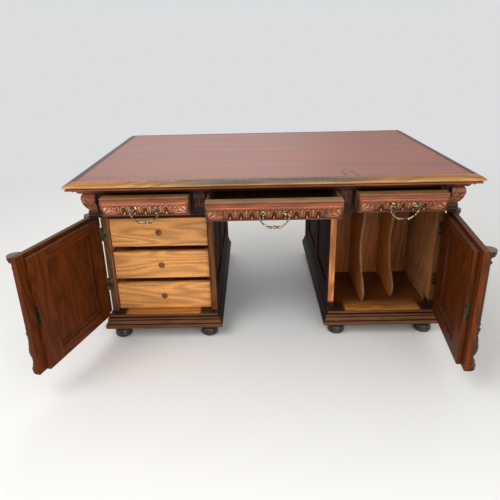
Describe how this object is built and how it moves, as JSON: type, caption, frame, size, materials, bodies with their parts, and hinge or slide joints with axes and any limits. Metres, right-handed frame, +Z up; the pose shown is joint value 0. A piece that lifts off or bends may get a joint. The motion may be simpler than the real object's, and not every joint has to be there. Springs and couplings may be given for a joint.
{
  "type": "partners desk",
  "caption": "Carved oak partners desk: leather writing top, frieze drawers on both long sides, pedestals with panelled doors and half columns on moulded plinths and bun feet.",
  "frame": {"origin": "on the floor, under the middle of the writing surface", "axes": "+X to the right of someone facing the front, +Y towards the back, +Z up"},
  "size_m": [1.7962, 1.5926, 0.778],
  "materials": {
    "carved_oak": "old polish, dark in the recesses",
    "plain_oak": "unstained, waxed",
    "dark_oak": "dark stained",
    "leather": "worn, satin",
    "brass": "tarnished",
    "old_steel": "dull"
  },
  "bodies": {
    "desk": {"top_board": "carved_oak", "top_edge_moulding": "carved_oak", "writing_leather": "leather", "bed_moulding": "carved_oak", "frieze_frame": "carved_oak", "frieze_end_boards": "carved_oak", "frieze_blocks": "carved_oak", "outer_sides": "carved_oak", "knee_sides": "carved_oak", "pedestal_boards": "carved_oak", "plinths": "carved_oak", "bun_feet": "dark_oak", "letter_dividers": "plain_oak", "fixed_hinge_leaves": "brass"},
    "left_drawer": {"left_drawer_front": "carved_oak", "left_drawer_box": "plain_oak", "left_handle_posts": "brass"},
    "left_bail": {"left_handle_bail": "brass"},
    "centre_drawer": {"centre_drawer_front": "carved_oak", "centre_drawer_box": "plain_oak", "centre_handle_posts": "brass"},
    "centre_bail": {"centre_handle_bail": "brass"},
    "right_drawer": {"right_drawer_front": "carved_oak", "right_drawer_box": "plain_oak", "right_handle_posts": "brass"},
    "right_bail": {"right_handle_bail": "brass"},
    "back_left_drawer": {"back_left_drawer": "carved_oak", "back_left_handle_posts": "brass"},
    "back_left_bail": {"back_left_handle_bail": "brass"},
    "back_centre_drawer": {"back_centre_drawer": "carved_oak", "back_centre_handle_posts": "brass"},
    "back_centre_bail": {"back_centre_handle_bail": "brass"},
    "back_right_drawer": {"back_right_drawer": "carved_oak", "back_right_handle_posts": "brass"},
    "back_right_bail": {"back_right_handle_bail": "brass"},
    "inner_drawer_1": {"inner_drawer_1": "plain_oak", "inner_drawer_1_knob": "dark_oak"},
    "inner_drawer_2": {"inner_drawer_2": "plain_oak", "inner_drawer_2_knob": "dark_oak"},
    "inner_drawer_3": {"inner_drawer_3": "plain_oak", "inner_drawer_3_knob": "dark_oak"},
    "left_door": {"left_door_frame": "carved_oak", "left_door_panel": "carved_oak", "left_door_columns": "carved_oak", "left_door_hinge_leaves": "brass", "left_door_lock": "old_steel"},
    "left_bolt": {"left_door_bolt": "old_steel"},
    "right_door": {"right_door_frame": "carved_oak", "right_door_panel": "carved_oak", "right_door_columns": "carved_oak", "right_door_hinge_leaves": "brass", "right_door_lock": "old_steel"},
    "right_bolt": {"right_door_bolt": "old_steel"},
    "back_left_door": {"back_left_door": "carved_oak", "back_left_door_columns": "carved_oak", "back_left_door_hinge_leaves": "brass"},
    "back_right_door": {"back_right_door": "carved_oak", "back_right_door_columns": "carved_oak", "back_right_door_hinge_leaves": "brass"}
  },
  "joints": [
    {"name": "left_drawer_slide", "type": "slide", "parent": "desk", "child": "left_drawer", "axis": [0, -1, 0], "range_m": [-0.06, 0.29]},
    {"name": "left_bail_swing", "type": "hinge", "parent": "left_drawer", "child": "left_bail", "pos_m": [-0.5215, -0.632, 0.672], "axis": [-1, 0, 0], "range_deg": [-10, 150]},
    {"name": "centre_drawer_slide", "type": "slide", "parent": "desk", "child": "centre_drawer", "axis": [0, -1, 0], "range_m": [-0.149, 0.201]},
    {"name": "centre_bail_swing", "type": "hinge", "parent": "centre_drawer", "child": "centre_bail", "pos_m": [0, -0.721, 0.672], "axis": [-1, 0, 0], "range_deg": [-10, 150]},
    {"name": "right_drawer_slide", "type": "slide", "parent": "desk", "child": "right_drawer", "axis": [0, -1, 0], "range_m": [-0.074, 0.276]},
    {"name": "right_bail_swing", "type": "hinge", "parent": "right_drawer", "child": "right_bail", "pos_m": [0.5215, -0.646, 0.672], "axis": [-1, 0, 0], "range_deg": [-10, 150]},
    {"name": "back_left_drawer_slide", "type": "slide", "parent": "desk", "child": "back_left_drawer", "axis": [0, 1, 0], "range_m": [0, 0.35]},
    {"name": "back_left_bail_swing", "type": "hinge", "parent": "back_left_drawer", "child": "back_left_bail", "pos_m": [-0.5215, 0.572, 0.672], "axis": [1, 0, 0], "range_deg": [-10, 150]},
    {"name": "back_centre_drawer_slide", "type": "slide", "parent": "desk", "child": "back_centre_drawer", "axis": [0, 1, 0], "range_m": [0, 0.35]},
    {"name": "back_centre_bail_swing", "type": "hinge", "parent": "back_centre_drawer", "child": "back_centre_bail", "pos_m": [0, 0.572, 0.672], "axis": [1, 0, 0], "range_deg": [-10, 150]},
    {"name": "back_right_drawer_slide", "type": "slide", "parent": "desk", "child": "back_right_drawer", "axis": [0, 1, 0], "range_m": [0, 0.35]},
    {"name": "back_right_bail_swing", "type": "hinge", "parent": "back_right_drawer", "child": "back_right_bail", "pos_m": [0.5215, 0.572, 0.672], "axis": [1, 0, 0], "range_deg": [-10, 150]},
    {"name": "inner_drawer_1_slide", "type": "slide", "parent": "desk", "child": "inner_drawer_1", "axis": [0, -1, 0], "range_m": [0, 0.25]},
    {"name": "inner_drawer_2_slide", "type": "slide", "parent": "desk", "child": "inner_drawer_2", "axis": [0, -1, 0], "range_m": [0, 0.25]},
    {"name": "inner_drawer_3_slide", "type": "slide", "parent": "desk", "child": "inner_drawer_3", "axis": [0, -1, 0], "range_m": [0, 0.25]},
    {"name": "left_door_hinge", "type": "hinge", "parent": "desk", "child": "left_door", "pos_m": [-0.763, -0.47, 0.3625], "axis": [0, 0, -1], "range_deg": [-106.5, 58.5]},
    {"name": "left_bolt_slide", "type": "slide", "parent": "left_door", "child": "left_bolt", "axis": [-0.284, -0.9588, 0], "range_m": [0, 0.01]},
    {"name": "right_door_hinge", "type": "hinge", "parent": "desk", "child": "right_door", "pos_m": [0.763, -0.47, 0.3625], "axis": [0, 0, 1], "range_deg": [-83, 82]},
    {"name": "right_bolt_slide", "type": "slide", "parent": "right_door", "child": "right_bolt", "axis": [-0.1219, -0.9925, 0], "range_m": [0, 0.01]},
    {"name": "back_left_door_hinge", "type": "hinge", "parent": "desk", "child": "back_left_door", "pos_m": [-0.763, 0.47, 0.3625], "axis": [0, 0, 1], "range_deg": [0, 165]},
    {"name": "back_right_door_hinge", "type": "hinge", "parent": "desk", "child": "back_right_door", "pos_m": [0.763, 0.47, 0.3625], "axis": [0, 0, -1], "range_deg": [0, 165]}
  ]
}
